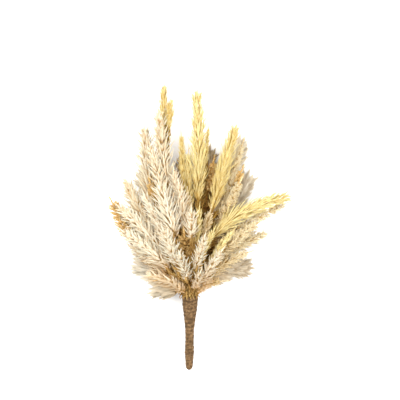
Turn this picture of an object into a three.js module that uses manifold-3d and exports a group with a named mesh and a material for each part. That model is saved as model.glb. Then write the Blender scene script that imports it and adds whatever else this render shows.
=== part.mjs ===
// A bundle of dried pampas grass and smaller plumes, lying on its side on a flat surface.
// Every plume is one solid with its own stem. The stems gather in a tapered handle of wound jute tape.
// Units are millimetres: X runs across the fan of plumes, +Y from the handle to the tips, +Z up.
import * as THREE from "three";
import Module from "manifold-3d";

const wasm = await Module();
wasm.setup();
const { Manifold, Mesh } = wasm;
const { Vector3, MathUtils } = THREE;

// The handle: jute tape wound round the stems, from its open mouth to its folded end.
const MOUTH_HEIGHT = 30; // height of the mouth's centre above the surface
const TAPE_WALL = 0.9;
const TAPE_TURN = 19; // how far apart the tape's edges lie along the handle
const TAPE_EDGE = 0.45; // how far each turn's edge stands out over the next
const HANDLE_SIDES = 16;
// Outer radius of the handle where each turn of the tape starts, from the mouth down.
const TURN_RADII = [12.1, 11.0, 8.5, 6.5, 6.1, 6.8, 5.3];
const HANDLE_LENGTH = 124;
const HOLLOW_LENGTH = 111; // past it the tape is folded over itself
const END_ROUND = 5; // the length over which the handle's end rounds off
const DEEPEST_STEM = 95; // how far below the mouth the longest stem ends
const REST_AT = 114; // distance below the mouth of the point that the handle lies on
const REST_RADIUS = 5.2;
const REST_PRESS = 0.75; // how deep the handle's underside is pressed flat there
const HANDLE_LEAN = MathUtils.degToRad(0.8);
const HANDLE_TILT = Math.asin((MOUTH_HEIGHT - REST_RADIUS + REST_PRESS) / REST_AT);

// The stems, packed in a hexagon inside the mouth.
const STEM_RADIUS = 0.85;
const STEM_PITCH = 2.15;
const STEM_GAP = 0.4; // free space between a stem's end and the tape
const STEM_ROWS = 9; // rows of stems in the mouth, and places in a row, before the outermost are dropped
const TIP_RADIUS = 0.5; // a stem's radius just short of its point
const BARE_STEM = 12; // the least length of stem between the mouth and a head

// Lengths of stem above the mouth at which it may bend, and the last share of a stem that may hold one.
const BENDS_AT = [0, 12, 26, 44, 68, 100, 145, 200, 260];
const LAST_BEND = 0.88;
const STRAIGHT_START = 0.42; // the share of its length over which a stem turns away from the handle's line

// How the stems are bent clear of each other.
const SPREAD_ROUNDS = 130;
const CLEARING_ROUNDS = 60; // the last of them, with less space and without evening out
const PUSH = 0.3; // the share of a lack of space that one round makes good
const EVENING = 0.2; // how far each bend follows its neighbours' shifts in a round
const STEM_SPACE = 2.5; // between the middles of two bare stems
const HEAD_SPACE = 0.26; // what two heads add to that, as a share of their widths
const CORE_SPACE = 0.2; // the same in the last rounds
const FLOOR_SPACE = 0.13; // between a head's middle and the surface, as a share of its width
const RIM_SPACE = 4; // between a bend and the plane of the handle's mouth
const CLEARANCE = 0.4; // between the branchlets of one plume and the next plume
// The shares of its length that a branchlet is cut back to, until it clears them.
const SHORTER = [1, 0.85, 0.7, 0.55, 0.4, 0.25, 0.12, 0.02];
const UNEVEN = 0.4; // how much the branchlets' lengths vary
const PAST_TIP = 0.12; // how far branchlets may reach past the stem's tip, as a share of the head's length

// The kinds of plume. A head is a core with staggered rows of pointed branchlets raised from it.
// sides is how many stand in a row, spacing the distance from row to row, lean how far they point
// out from the stem in degrees, core the core's radius as a share of the head's width, taper how fast
// the head narrows to its tip, and flat how much its depth is pressed down.
const KINDS = {
  cream: { color: 0xefe4cc, sides: 5, spacing: 7.6, lean: 36, core: 0.16, taper: 0.42, flat: 0.55 },
  straw: { color: 0xefdb92, sides: 5, spacing: 9.4, lean: 18, core: 0.24, taper: 0.32, flat: 0.7 },
  gold: { color: 0xe0b76c, sides: 5, spacing: 5.2, lean: 48, core: 0.2, taper: 0.4, flat: 1 },
  beige: { color: 0xe6cfa4, sides: 5, spacing: 7.2, lean: 42, core: 0.18, taper: 0.42, flat: 0.75 },
  soft: { color: 0xd3bd9c, sides: 6, spacing: 11.5, lean: 30, core: 0.2, taper: 0.22, flat: 0.55 },
};

// One row for each plume: kind, its tip across, along and above the surface, the head's length and
// width, and how far the stem bows to the right and upwards. The tip is measured from the mouth.
const PLUMES = [
  ["soft", 85, 244, 2, 180, 50, 13, 0],
  ["soft", 31, 231, 4, 168, 40, 0, 0],
  ["soft", -6, 222, 7, 144, 34, 0, 0],
  ["soft", 83, 193, 3, 157, 42, 8, 0],
  ["soft", 102, 96, 4, 114, 44, -6, 0],
  ["soft", 94, 43, 6, 84, 36, -10, 2],
  ["soft", 56, 34, 14, 44, 24, -8, 6],
  ["soft", -85, 47, 5, 90, 54, 2, 0],
  ["soft", -58, 11, 13, 48, 38, 0, 4],
  ["soft", -80, 192, 2, 132, 40, 0, 0],
  ["soft", -100, 128, 4, 114, 42, 2, 0],
  ["gold", -120, 146, 56, 70, 28, -22, 2],
  ["gold", -62, 178, 56, 60, 21, -6, 4],
  ["gold", 37, 210, 38, 52, 16, 3, 0],
  ["gold", 80, 196, 36, 56, 18, 4, 0],
  ["gold", 45, 54, 39, 38, 16, 0, 4],
  ["gold", -8, 100, 78, 46, 34, 0, 4],
  ["beige", 82, 241, 34, 126, 24, 6, 0],
  ["beige", 79, 178, 58, 109, 27, 6, 4],
  ["beige", 149, 144, 44, 138, 28, -14, 10],
  ["beige", 126, 97, 42, 101, 25, -6, 6],
  ["beige", 92, 70, 52, 83, 26, -4, 6],
  ["beige", 105, 115, 62, 92, 28, -4, 8],
  ["beige", -3, 160, 60, 80, 21, 0, 4],
  ["beige", 36, 134, 66, 78, 21, 3, 4],
  ["beige", -24, 40, 60, 34, 18, 0, 6],
  ["beige", 50, 24, 44, 34, 18, -4, 6],
  ["straw", 11, 320, 52, 175, 30, 9, 4],
  ["straw", 71, 265, 58, 141, 27, 4, 6],
  ["straw", -14, 253, 40, 105, 14, -2, 4],
  ["straw", 156, 156, 56, 146, 28, -31, 12],
  ["straw", -2, 226, 46, 121, 18, 0, 4],
  ["straw", 29, 265, 44, 66, 8, 2, 4],
  ["straw", -107, 183, 44, 60, 12, -6, 6],
  ["straw", 15, 140, 86, 68, 14, 0, 6],
  ["straw", 68, 105, 84, 73, 12, 0, 8],
  ["straw", 38, 107, 94, 55, 11, 0, 8],
  ["straw", -40, 333, 40, 150, 21, -20, 4],
  ["straw", -30, 308, 46, 54, 14, -20, 4],
  ["cream", -71, 264, 40, 138, 36, -24, 4],
  ["cream", -51, 287, 54, 142, 31, -10, 4],
  ["cream", -60, 236, 62, 98, 26, -4, 6],
  ["cream", -25, 196, 68, 90, 24, 0, 6],
  ["cream", -97, 177, 62, 114, 36, -13, 6],
  ["cream", -71, 160, 76, 102, 28, -4, 8],
  ["cream", -112, 141, 66, 119, 33, 0, 8],
  ["cream", -46, 174, 94, 90, 38, -2, 10],
  ["cream", -17, 174, 82, 76, 24, 0, 8],
  ["cream", 2, 136, 98, 52, 24, 0, 8],
  ["cream", -42, 106, 112, 74, 26, -4, 10],
  ["cream", -92, 80, 62, 100, 31, 2, 10],
  ["cream", -104, 104, 84, 100, 28, 0, 10],
  ["cream", 23, 96, 112, 70, 19, 2, 10],
  ["cream", 50, 74, 92, 75, 21, 4, 10],
  ["cream", -15, 70, 116, 68, 21, 0, 10],
  ["cream", -67, 36, 58, 56, 27, 4, 10],
  ["cream", -34, 30, 78, 46, 20, -3, 8],
  ["cream", 17, 42, 88, 48, 19, 2, 8],
  ["cream", 34, 32, 60, 40, 18, 3, 8],
];

const WRAP_COLOR = 0x967657;

// An even scatter between -0.5 and 0.5 that is the same in every run.
const scatter = (i, k) => ((i * 0.61803398875 + k * 0.75487766625) % 1) - 0.5;

// The mouth's centre, the way the handle points into the fan, and the two directions across it.
const mouth = new Vector3(0, 0, MOUTH_HEIGHT);
const handleAxis = new Vector3(
  Math.sin(HANDLE_LEAN),
  Math.cos(HANDLE_TILT) * Math.cos(HANDLE_LEAN),
  Math.sin(HANDLE_TILT) * Math.cos(HANDLE_LEAN),
);
const handleUp = new Vector3(0, -Math.sin(HANDLE_TILT), Math.cos(HANDLE_TILT));
const handleAcross = handleAxis.clone().cross(handleUp);

// A point in the handle: across it, up from its axis, and down from its mouth.
function inHandle(across, up, down) {
  return mouth
    .clone()
    .addScaledVector(handleAcross, across)
    .addScaledVector(handleUp, up)
    .addScaledVector(handleAxis, -down);
}

// The handle's outer radius at a distance below its mouth.
function handleRadius(down) {
  const turn = Math.min(Math.floor(down / TAPE_TURN), TURN_RADII.length - 2);
  return MathUtils.lerp(TURN_RADII[turn], TURN_RADII[turn + 1], down / TAPE_TURN - turn);
}

// Places for count stems, nearest the handle's middle first, as [across, up].
function packedSlots(count) {
  const slots = [];
  const half = (STEM_ROWS + 1) / 2;
  for (let row = -half; row <= half; row++)
    for (let column = -half; column <= half; column++) {
      const across = (column + (Math.abs(row) % 2) / 2) * STEM_PITCH;
      slots.push([across, (row * STEM_PITCH * Math.sqrt(3)) / 2]);
    }
  const middle = ([across, up]) => Math.round(1000 * Math.hypot(across, up));
  return slots.sort((a, b) => middle(a) - middle(b) || a[1] - b[1] || a[0] - b[0]).slice(0, count);
}

// How far down the handle a stem reaches before the tape closes on it.
function stemDepth([across, up]) {
  const out = Math.hypot(across, up) + STEM_RADIUS + STEM_GAP + TAPE_WALL;
  const room = out / Math.cos(Math.PI / HANDLE_SIDES);
  let down = 0;
  while (down < DEEPEST_STEM && handleRadius(down + 1) > room) down += 1;
  return down;
}

// The plumes with a slot each: rows of slots from the back to the front take the plumes that lie
// lowest to highest, and in each row they fan from left to right, so no two stems have to cross.
function plumesWithSlots() {
  const plumes = PLUMES.map(([kind, x, y, z, head, width, bow, arch], index) => {
    const tip = new Vector3(x, y, z);
    const reach = tip.distanceTo(mouth);
    const lift = Math.atan2(z - MOUTH_HEIGHT, Math.hypot(x, y));
    return { ...KINDS[kind], index, kind, tip, reach, lift, fan: Math.atan2(x, y), head, width, bow, arch };
  });
  const rows = new Map();
  for (const slot of packedSlots(plumes.length)) {
    const key = Math.round(slot[1] * 1000);
    rows.set(key, [...(rows.get(key) ?? []), slot]);
  }
  const byLift = [...plumes].sort((a, b) => a.lift - b.lift);
  for (const key of [...rows.keys()].sort((a, b) => a - b)) {
    const slots = rows.get(key).sort((a, b) => a[0] - b[0]);
    const members = byLift.splice(0, slots.length).sort((a, b) => a.fan - b.fan);
    members.forEach((plume, k) => (plume.slot = slots[k]));
  }
  return plumes;
}

// The stem's bends above the mouth, and its tip, on a curve that leaves the handle straight.
function firstBends(plume) {
  const start = inHandle(...plume.slot, 0);
  const side = new Vector3(Math.cos(plume.fan), -Math.sin(plume.fan), 0);
  const ahead = start.clone().addScaledVector(handleAxis, STRAIGHT_START * plume.reach);
  const bend = start
    .clone()
    .lerp(plume.tip, 0.5)
    .lerp(ahead, 0.5)
    .addScaledVector(side, plume.bow * 2)
    .addScaledVector(new Vector3(0, 0, 1), plume.arch * 2);
  const curve = new THREE.QuadraticBezierCurve3(start, bend, plume.tip);
  const length = curve.getLength();
  const places = BENDS_AT.filter((place) => place < LAST_BEND * length);
  return [...places.map((place) => curve.getPointAt(place / length)), plume.tip.clone()];
}

// How wide the head is at a share of its length: half its width where it starts, all of it a fifth
// of the way on, and from there narrowing to the tip.
function headWidth(plume, share) {
  return plume.width * Math.min(1, 0.5 + 2.5 * share) * Math.pow(Math.max(1 - share, 0), plume.taper);
}

// Where two straight limbs come nearest: the shares along each, and the way from b to a there.
function nearest(a, b) {
  const u = a.to.clone().sub(a.from);
  const v = b.to.clone().sub(b.from);
  const w = a.from.clone().sub(b.from);
  const [uu, uv, vv, uw, vw] = [u.dot(u), u.dot(v), v.dot(v), u.dot(w), v.dot(w)];
  const spread = uu * vv - uv * uv;
  let s = spread > 1e-9 ? MathUtils.clamp((uv * vw - vv * uw) / spread, 0, 1) : 0.5;
  const t = MathUtils.clamp((uv * s + vw) / vv, 0, 1);
  s = MathUtils.clamp((uv * t - uw) / uu, 0, 1);
  const apart = w.addScaledVector(u, s).addScaledVector(v, -t);
  return { s, t, apart };
}

// The straight limbs between a stem's bends.
function limbsOf(plume) {
  return plume.bends.slice(1).map((to, n) => {
    const from = plume.bends[n];
    const widths = [plume.widths[n], plume.widths[n + 1]];
    const middle = from.clone().lerp(to, 0.5);
    return { plume, k: n + 1, from, to, widths, middle, half: from.distanceTo(to) / 2 };
  });
}

// The pushes that part each pair of limbs that lie nearer than their heads allow.
function pushApart(limbs, headSpace) {
  limbs.forEach((a, n) => {
    for (const b of limbs.slice(n + 1)) {
      const most = headSpace * (Math.max(...a.widths) + Math.max(...b.widths));
      const near = a.half + b.half + STEM_SPACE + most;
      if (a.plume === b.plume || a.middle.distanceTo(b.middle) > near) continue;
      const { s, t, apart } = nearest(a, b);
      const widths = MathUtils.lerp(...a.widths, s) + MathUtils.lerp(...b.widths, t);
      const space = STEM_SPACE + headSpace * widths;
      const distance = Math.max(apart.length(), 0.01);
      if (distance >= space) continue;
      apart.multiplyScalar((PUSH * (space - distance)) / distance);
      a.plume.push[a.k - 1].addScaledVector(apart, 1 - s);
      a.plume.push[a.k].addScaledVector(apart, s);
      b.plume.push[b.k - 1].addScaledVector(apart, t - 1);
      b.plume.push[b.k].addScaledVector(apart, -t);
    }
  });
}

// Bends the stems clear of each other, of the surface and of the handle's rim, and evens them out.
function bendClear(plumes) {
  for (const plume of plumes) {
    plume.first = firstBends(plume);
    plume.bends = plume.first.map((bend) => bend.clone());
    plume.widths = plume.bends.map((_, k) => {
      const share = 1 - (plume.reach - (BENDS_AT[k] ?? plume.reach)) / plume.head;
      if (k === plume.bends.length - 1) return 0.3 * plume.width;
      return share < 0 ? 0 : headWidth(plume, Math.min(share, 0.8));
    });
  }
  for (let round = 0; round < SPREAD_ROUNDS; round++) {
    const clearing = round >= SPREAD_ROUNDS - CLEARING_ROUNDS;
    for (const plume of plumes) plume.push = plume.bends.map(() => new Vector3());
    pushApart(plumes.flatMap(limbsOf), clearing ? CORE_SPACE : HEAD_SPACE);
    for (const plume of plumes) {
      const moved = plume.bends.map((bend, k) => bend.clone().add(plume.push[k]).sub(plume.first[k]));
      moved[0].set(0, 0, 0);
      const last = moved.length - 1;
      for (let k = 1; k <= last; k++) {
        const beside = moved[k - 1].clone().add(moved[Math.min(k + 1, last)]).multiplyScalar(0.5);
        const shift = moved[k].clone().lerp(beside, clearing ? 0 : EVENING);
        const bend = plume.bends[k].copy(plume.first[k]).add(shift);
        bend.z = Math.max(bend.z, STEM_RADIUS, FLOOR_SPACE * plume.widths[k]);
        const above = bend.clone().sub(mouth).dot(handleAxis);
        bend.addScaledVector(handleAxis, Math.max(RIM_SPACE - above, 0));
      }
    }
  }
}

// Distances along the stem from the mouth to each bend, to where the head starts and to the tip.
function measure(plume) {
  plume.marks = [0];
  for (let k = 1; k < plume.bends.length; k++)
    plume.marks.push(plume.marks[k - 1] + plume.bends[k].distanceTo(plume.bends[k - 1]));
  plume.length = plume.marks.at(-1);
  plume.headStart = Math.max(plume.length - plume.head, BARE_STEM);
}

// The point at a distance along the stem.
function onStem(plume, distance) {
  const next = plume.marks.findIndex((mark) => mark > distance);
  const k = next < 0 ? plume.marks.length - 1 : Math.max(next, 1);
  const share = (distance - plume.marks[k - 1]) / (plume.marks[k] - plume.marks[k - 1]);
  return plume.bends[k - 1].clone().lerp(plume.bends[k], share);
}

// The rings of corners that a plume is built on, from its foot in the handle to just short of its tip.
// The bare stem's rings are at its bends. The head's are evenly spaced, each half a side on from the last.
function ringsOf(plume) {
  const rings = [{ point: inHandle(...plume.slot, stemDepth(plume.slot)), radius: STEM_RADIUS, flat: 1 }];
  for (const mark of plume.marks.filter((place) => place < plume.headStart - BARE_STEM / 2))
    rings.push({ point: onStem(plume, mark), radius: STEM_RADIUS, flat: 1 });
  plume.stemRings = rings.length;
  const head = plume.length - plume.headStart;
  const rows = 2 * Math.round(head / plume.spacing / 2);
  for (let row = 0; row <= rows; row++) {
    const share = row / (rows + 1);
    const core = Math.max(plume.core * headWidth(plume, share), TIP_RADIUS);
    rings.push({
      point: onStem(plume, plume.headStart + share * head),
      radius: row === 0 ? STEM_RADIUS : core,
      flat: row === 0 ? 1 : plume.flat,
      turn: (row % 2) / 2,
      share,
    });
  }
  const tip = plume.bends.at(-1);
  const over = new Vector3(0, 0, 1);
  rings.forEach((ring, k) => {
    const before = rings[Math.max(k - 1, 0)].point;
    const after = rings[k + 1]?.point ?? tip;
    ring.way = after.clone().sub(before).normalize();
    over.addScaledVector(ring.way, -over.dot(ring.way)).normalize();
    ring.over = over.clone();
    ring.across = over.clone().cross(ring.way);
  });
  return rings;
}

// The place round a ring at a number of sides from its start, at a distance out from the stem.
function roundRing(plume, ring, side, out) {
  const angle = (2 * Math.PI * side) / plume.sides;
  return ring.point
    .clone()
    .addScaledVector(ring.across, out * Math.cos(angle))
    .addScaledVector(ring.over, out * ring.flat * Math.sin(angle));
}

// A branchlet's point: over the middle of a side of its ring, as far out and ahead as its length gives.
function branchletEnd(plume, ring, side, length) {
  const lean = MathUtils.degToRad(plume.lean);
  const base = ring.radius * Math.cos(Math.PI / plume.sides);
  const end = roundRing(plume, ring, side + ring.turn + 0.5, base + length * Math.sin(lean));
  return end.addScaledVector(ring.way, length * Math.cos(lean));
}

// A tapered length of core or stem, or an edge of a branchlet, for testing how near two of them come.
function bar(owner, from, to, fromRadius, toRadius) {
  const middle = from.clone().lerp(to, 0.5);
  const half = from.distanceTo(to) / 2 + Math.max(fromRadius, toRadius);
  return { owner, from, to, fromRadius, toRadius, middle, half };
}

// Whether two bars leave the clearance free between them, tested at places along the first.
function clearsAlong(a, b) {
  const run = b.to.clone().sub(b.from);
  return [0, 0.2, 0.4, 0.6, 0.8, 1].every((s) => {
    const place = a.from.clone().lerp(a.to, s).sub(b.from);
    const t = MathUtils.clamp(place.dot(run) / run.dot(run), 0, 1);
    const radii = MathUtils.lerp(a.fromRadius, a.toRadius, s) + MathUtils.lerp(b.fromRadius, b.toRadius, t);
    return place.addScaledVector(run, -t).length() > radii + CLEARANCE;
  });
}

// Whether the balls round two bars meet.
const meets = (a, b) => a.middle.distanceTo(b.middle) < a.half + b.half + CLEARANCE;

const clears = (a, b) => !meets(a, b) || (clearsAlong(a, b) && clearsAlong(b, a));

// Gives every branchlet its length: what the head's width asks for, less where the surface or
// another plume is in the way. The plumes take turns, so that no head is favoured.
function growBranchlets(plumes) {
  const bars = [];
  for (const plume of plumes) {
    plume.rings.forEach((ring, k) => {
      const next = plume.rings[k + 1] ?? { point: plume.bends.at(-1), radius: 0 };
      bars.push(bar(plume, ring.point, next.point, ring.radius, next.radius));
    });
    plume.ends = plume.rings.map(() => []);
  }
  const most = Math.max(...plumes.map((plume) => plume.rings.length));
  for (let back = 2; back < most; back++)
    for (const plume of plumes) {
      const row = plume.rings.length - back;
      if (row <= plume.stemRings) continue;
      for (let side = 0; side < plume.sides; side++) growOne(plume, row, side, bars);
    }
}

function growOne(plume, row, side, bars) {
  const ring = plume.rings[row];
  const lean = MathUtils.degToRad(plume.lean);
  const uneven = 1 + UNEVEN * scatter(row * plume.sides + side, plume.index);
  const out = headWidth(plume, ring.share) / 2 - ring.radius;
  const ahead = (1 + PAST_TIP - ring.share) * (plume.length - plume.headStart);
  const root = branchletEnd(plume, ring, side, 0);
  let length = Math.min((out / Math.sin(lean)) * uneven, ahead / Math.cos(lean));
  const drop = branchletEnd(plume, ring, side, length).z;
  if (drop < 0) length *= root.z / (root.z - drop);
  const halfSide = ring.radius * Math.sin(Math.PI / plume.sides);
  const roots = [-1, 0, 1].map((step) => root.clone().addScaledVector(ring.way, step * plume.spacing));
  const barsTo = (end) => roots.map((from) => bar(plume, from, end, halfSide, 0));
  const longest = barsTo(branchletEnd(plume, ring, side, length));
  const near = bars.filter((other) => other.owner !== plume && longest.some((one) => meets(one, other)));
  const ends = SHORTER.map((share) => branchletEnd(plume, ring, side, length * share));
  const free = (end) => barsTo(end).every((one) => near.every((other) => clears(one, other)));
  plume.ends[row][side] = ends.find(free) ?? ends.at(-1);
  bars.push(...barsTo(plume.ends[row][side]));
}

// A plume in one closed surface: the foot's cap, the bare stem, the head with each diamond between
// its staggered corners raised to a branchlet's point, and the tip.
function plumeGeometry(plume) {
  const { rings, sides, stemRings } = plume;
  const positions = [];
  const faces = [];
  const corner = (k, side) => k * sides + (side % sides);
  for (const ring of rings)
    for (let side = 0; side < sides; side++)
      positions.push(...roundRing(plume, ring, side + (ring.turn ?? 0), ring.radius).toArray());
  const point = (place) => positions.push(...place.toArray()) / 3 - 1;
  for (let side = 1; side < sides - 1; side++) faces.push(0, side + 1, side);
  for (let side = 0; side < sides; side++) {
    for (let k = 0; k < stemRings; k++) {
      faces.push(corner(k, side), corner(k, side + 1), corner(k + 1, side + 1));
      faces.push(corner(k, side), corner(k + 1, side + 1), corner(k + 1, side));
    }
    faces.push(corner(stemRings, side), corner(stemRings, side + 1), corner(stemRings + 1, side));
  }
  const last = rings.length - 1;
  for (let k = stemRings + 1; k < last; k++)
    for (let side = 0; side < sides; side++) {
      const middle = side + 2 * rings[k].turn;
      const [left, right] = [corner(k, side), corner(k, side + 1)];
      const [below, above] = [corner(k - 1, middle), corner(k + 1, middle)];
      const end = point(plume.ends[k][side]);
      faces.push(below, right, end, right, above, end, above, left, end, left, below, end);
    }
  const tip = point(plume.bends.at(-1));
  for (let side = 0; side < sides; side++) {
    faces.push(corner(last, side), corner(last, side + 1), tip);
    faces.push(corner(last, side + 1), corner(last, side), corner(last - 1, side + 2 * rings[last].turn));
  }
  const geometry = new THREE.BufferGeometry();
  geometry.setAttribute("position", new THREE.Float32BufferAttribute(positions, 3));
  geometry.setIndex(faces);
  geometry.computeVertexNormals();
  return geometry;
}

function plumeMeshes() {
  const plumes = plumesWithSlots();
  bendClear(plumes);
  for (const plume of plumes) {
    measure(plume);
    plume.rings = ringsOf(plume);
  }
  growBranchlets(plumes);
  const numbers = {};
  return plumes.map((plume) => {
    numbers[plume.kind] = (numbers[plume.kind] ?? 0) + 1;
    const material = new THREE.MeshStandardMaterial({ color: plume.color, roughness: 0.9 });
    const mesh = new THREE.Mesh(plumeGeometry(plume), material);
    mesh.name = `plume_${plume.kind}_${String(numbers[plume.kind]).padStart(2, "0")}`;
    return mesh;
  });
}

// A geometry as a solid for cutting. Corners that coincide are merged first.
function solidOf(geometry) {
  const places = geometry.getAttribute("position");
  const index = geometry.getIndex();
  const corners = new Map();
  const vertices = [];
  const cornerOf = (n) => {
    const at = [places.getX(n), places.getY(n), places.getZ(n)];
    const key = at.map((value) => Math.round(value * 1000)).join(" ");
    if (!corners.has(key)) {
      corners.set(key, corners.size);
      vertices.push(...at);
    }
    return corners.get(key);
  };
  const faces = [];
  for (let n = 0; n < index.count; n += 3) {
    const face = [0, 1, 2].map((k) => cornerOf(index.getX(n + k)));
    if (new Set(face).size === 3) faces.push(...face);
  }
  const mesh = new Mesh({
    numProp: 3,
    vertProperties: new Float32Array(vertices),
    triVerts: new Uint32Array(faces),
  });
  return new Manifold(mesh);
}

// A solid back as a geometry.
function geometryOf(solid) {
  const mesh = solid.getMesh();
  const geometry = new THREE.BufferGeometry();
  geometry.setAttribute("position", new THREE.BufferAttribute(mesh.vertProperties, 3));
  geometry.setIndex(new THREE.BufferAttribute(mesh.triVerts, 1));
  geometry.computeVertexNormals();
  return geometry;
}

// The tape sleeve: stepped where each turn overlaps the next, hollow for the stems, closed at its end.
function wrapMesh() {
  const turns = TURN_RADII.length - 1;
  const inner = TURN_RADII.slice(0, turns).map((radius, turn) => [radius - TAPE_WALL, TAPE_TURN * turn]);
  inner.push([TURN_RADII[turns] - TAPE_WALL / 3, HOLLOW_LENGTH - END_ROUND], [0, HOLLOW_LENGTH]);
  const outer = [];
  for (let turn = 0; turn < turns; turn++) {
    outer.push([TURN_RADII[turn] + TAPE_EDGE / 2, TAPE_TURN * turn]);
    outer.push([TURN_RADII[turn + 1] - TAPE_EDGE / 2, TAPE_TURN * (turn + 1) - TAPE_EDGE]);
  }
  outer.push([TURN_RADII[turns], TAPE_TURN * turns], [0.68 * TURN_RADII[turns], HANDLE_LENGTH - END_ROUND]);
  outer.push([0.34 * TURN_RADII[turns], HANDLE_LENGTH - END_ROUND / 4], [0, HANDLE_LENGTH]);
  const profile = [...outer.reverse(), ...inner].map(([radius, down]) => new THREE.Vector2(radius, -down));
  const lathe = new THREE.LatheGeometry(profile, HANDLE_SIDES);
  const turn = new THREE.Matrix4().makeBasis(handleAcross, handleAxis, handleUp);
  lathe.applyMatrix4(turn.setPosition(mouth));
  const under = new THREE.BoxGeometry(80, 400, 40).translate(0, -100, -20);
  const solid = solidOf(lathe).subtract(solidOf(under));
  const material = new THREE.MeshStandardMaterial({ color: WRAP_COLOR, roughness: 0.95 });
  const mesh = new THREE.Mesh(geometryOf(solid), material);
  mesh.name = "wrap_jute_tape";
  return mesh;
}

const bundle = new THREE.Group();
bundle.add(wrapMesh(), ...plumeMeshes());
// The origin is under the middle of the bundle, on the surface that it lies on.
const extent = new THREE.Box3().setFromObject(bundle);
const centre = extent.getCenter(new Vector3());
bundle.position.set(-centre.x, -centre.y, -extent.min.z);

export default bundle;
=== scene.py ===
import math

import bpy
import numpy as np
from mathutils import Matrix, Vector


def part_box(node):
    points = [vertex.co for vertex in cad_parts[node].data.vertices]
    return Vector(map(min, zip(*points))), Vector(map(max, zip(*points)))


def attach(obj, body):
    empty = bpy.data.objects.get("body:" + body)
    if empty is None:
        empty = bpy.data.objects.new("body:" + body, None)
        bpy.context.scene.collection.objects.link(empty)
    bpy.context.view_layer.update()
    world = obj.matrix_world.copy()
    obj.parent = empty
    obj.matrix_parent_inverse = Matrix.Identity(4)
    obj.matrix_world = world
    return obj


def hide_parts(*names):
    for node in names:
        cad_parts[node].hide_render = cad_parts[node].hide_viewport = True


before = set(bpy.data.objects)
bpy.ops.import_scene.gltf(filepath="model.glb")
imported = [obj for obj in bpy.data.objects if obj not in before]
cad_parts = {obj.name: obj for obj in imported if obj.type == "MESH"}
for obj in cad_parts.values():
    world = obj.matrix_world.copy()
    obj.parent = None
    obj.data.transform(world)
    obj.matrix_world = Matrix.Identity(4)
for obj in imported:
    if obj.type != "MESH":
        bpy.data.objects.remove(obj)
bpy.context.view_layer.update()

# The looks of a bundle of dried pampas grass that lies on its side. +Y runs from the handle to
# the tips and +Z up from the surface. Blender's unit is the metre, and MM turns millimetres
# into it. Most values stand above the function that uses them.
MM = 0.001
SEED = 7
TINY = 1e-12  # keeps a vector of no length from being divided by nothing

# The handle, as in the CAD part: the height of its mouth, where it lies on the surface and how
# deep it is pressed flat there, the way it points, and its outer radii from the mouth down.
MOUTH_HEIGHT = 30 * MM
REST_AT = 114 * MM
REST_RADIUS = 5.2 * MM
REST_PRESS = 0.75 * MM
HANDLE_TILT = math.asin((MOUTH_HEIGHT - REST_RADIUS + REST_PRESS) / REST_AT)
HANDLE_LEAN = math.radians(0.8)
HANDLE_LENGTH = 124 * MM
RADIUS_STEP = 19 * MM
RADII = np.array([12.1, 11.0, 8.5, 6.5, 6.1, 6.8, 5.3]) * MM
END_ROUND = 9 * MM  # the length over which the handle's end rounds off

# The kinds of plume. Each branchlet of the CAD node becomes several locks of hair. Widths and
# the sizes of grains are in mm.
#   sides, taper: how many branchlets stand round the stem, and how fast the head narrows
#   locks, reach, fill: the locks of a branchlet. The first is reach times as long as it. The
#       others lie between it and its neighbours and are shorter, by a share in the range fill
#   stray, bow: how far a lock strays from its way and bows outwards, as shares of its length
#   lock, point: a lock's greatest width, and the power by which it narrows to its end
#   slim, tip: the share by which locks are narrower at the plume's tip, and how many times as
#       wide the last lock is, the one that reaches past the stem
#   core: the thickness of a lock's close middle, as a share of its width
#   hairs, hair, blade: the number of hairs on a lock, their length as a share of the lock's,
#       and their width
#   flecks: the greatest share of them that is seed-brown
#   grains, grain: the number of husks on a lock, and their length and width
KINDS = {
    "cream": dict(sides=5, taper=0.42, locks=6, reach=1.75, fill=(0.35, 0.65), stray=0.15,
                  bow=0.12, lock=4.4, point=0.5, slim=0.1, tip=1, core=0.45,
                  hairs=23, hair=0.5, blade=0.8, flecks=0.3, grains=0),
    "straw": dict(sides=5, taper=0.32, locks=7, reach=1.4, fill=(0.45, 0.85), stray=0.2,
                  bow=0.14, lock=2.4, point=0.5, slim=0, tip=1, core=0.45,
                  hairs=15, hair=0.55, blade=0.6, flecks=0.3, grains=0),
    "gold": dict(sides=5, taper=0.4, locks=4, reach=1.25, fill=(0.45, 0.85), stray=0.2,
                 bow=0.14, lock=4.2, point=0.45, slim=0.2, tip=1, core=0.45,
                 hairs=6, hair=0.5, blade=0.4, flecks=0.8, grains=10, grain=(2.4, 1.5)),
    "beige": dict(sides=5, taper=0.42, locks=5, reach=1.2, fill=(0.45, 0.85), stray=0.2,
                  bow=0.14, lock=3.8, point=0.55, slim=0.2, tip=1, core=0.45,
                  hairs=9, hair=0.4, blade=0.5, flecks=0.8, grains=6, grain=(2.2, 1.2)),
    "soft": dict(sides=6, taper=0.22, locks=7, reach=1.22, fill=(0.5, 0.9), stray=0.2,
                 bow=0.16, lock=8.5, point=0.34, slim=0.3, tip=2, core=0.65,
                 hairs=32, hair=0.38, blade=0.85, flecks=0.05, grains=0),
}


def unit(vectors):
    """Vectors of the same direction and of length 1."""
    return vectors / np.maximum(np.linalg.norm(vectors, axis=-1, keepdims=True), TINY)


def turned(vectors, axes, angles):
    """Vectors turned about their axes."""
    cos, sin = np.cos(angles)[..., None], np.sin(angles)[..., None]
    along = np.sum(vectors * axes, axis=-1, keepdims=True)
    return vectors * cos + np.cross(axes, vectors) * sin + axes * along * (1 - cos)


def either_way(random, most, shape=None):
    """Random numbers from -most to most."""
    return random.uniform(-most, most, shape)


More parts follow.
